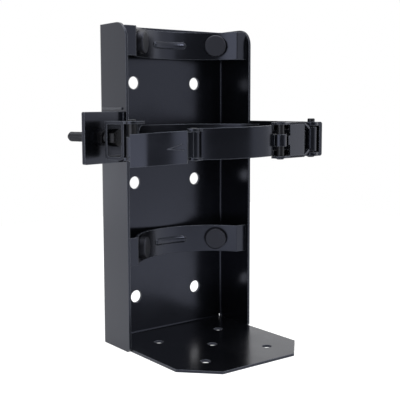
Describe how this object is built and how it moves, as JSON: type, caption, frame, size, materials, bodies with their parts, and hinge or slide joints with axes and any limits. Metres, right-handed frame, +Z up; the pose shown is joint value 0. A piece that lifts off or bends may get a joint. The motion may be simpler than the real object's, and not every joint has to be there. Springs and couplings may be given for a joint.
{
  "type": "cylinder bracket",
  "caption": "Upright folded steel cylinder bracket with curved saddles, rubber buttons, a base and a hinged clamp strap that hooks on an adjustable latch box.",
  "frame": {"origin": "where the cylinder's axis meets the underside of the base, at the centre of the base's holes", "axes": "+X to the bracket's right seen from the front, +Y towards the wall, +Z up"},
  "size_m": [0.2831, 0.2132, 0.432],
  "materials": {
    "powder_coat": "black powder coat, satin to gloss",
    "hardware": "black coated steel pins, bolt and nuts",
    "rubber": "matt black rubber"
  },
  "bodies": {
    "bracket": {"back_frame": "powder_coat", "upper_saddle": "powder_coat", "lower_saddle": "powder_coat", "rear_band": "powder_coat", "right_arm": "powder_coat", "adjuster_lug": "powder_coat", "latch_box": "powder_coat", "latch_ear_upper": "powder_coat", "latch_ear_lower": "powder_coat", "yoke_pin": "hardware", "latch_pin": "hardware", "adjusting_bolt": "hardware", "rear_nut": "hardware", "rear_washer": "hardware", "front_jam_nut": "hardware", "button_upper_left": "rubber", "button_upper_right": "rubber", "button_lower_left": "rubber", "button_lower_right": "rubber"},
    "link": {"link": "powder_coat", "strap_pin": "hardware"},
    "front_strap": {"front_strap": "powder_coat", "lever_pin": "hardware"},
    "lever": {"lever": "powder_coat", "lever_hook": "powder_coat"}
  },
  "joints": [
    {"name": "link_swing", "type": "hinge", "parent": "bracket", "child": "link", "pos_m": [0.097, -0.0848, 0.281], "axis": [0, 0, 1], "range_deg": [0, 80]},
    {"name": "strap_swing", "type": "hinge", "parent": "link", "child": "front_strap", "pos_m": [0.0342, -0.09397, 0.281], "axis": [0, 0, 1], "range_deg": [0, 100]},
    {"name": "lever_swing", "type": "hinge", "parent": "front_strap", "child": "lever", "pos_m": [-0.07771, -0.06293, 0.278], "axis": [0, 0, 1], "range_deg": [0, 110]}
  ]
}
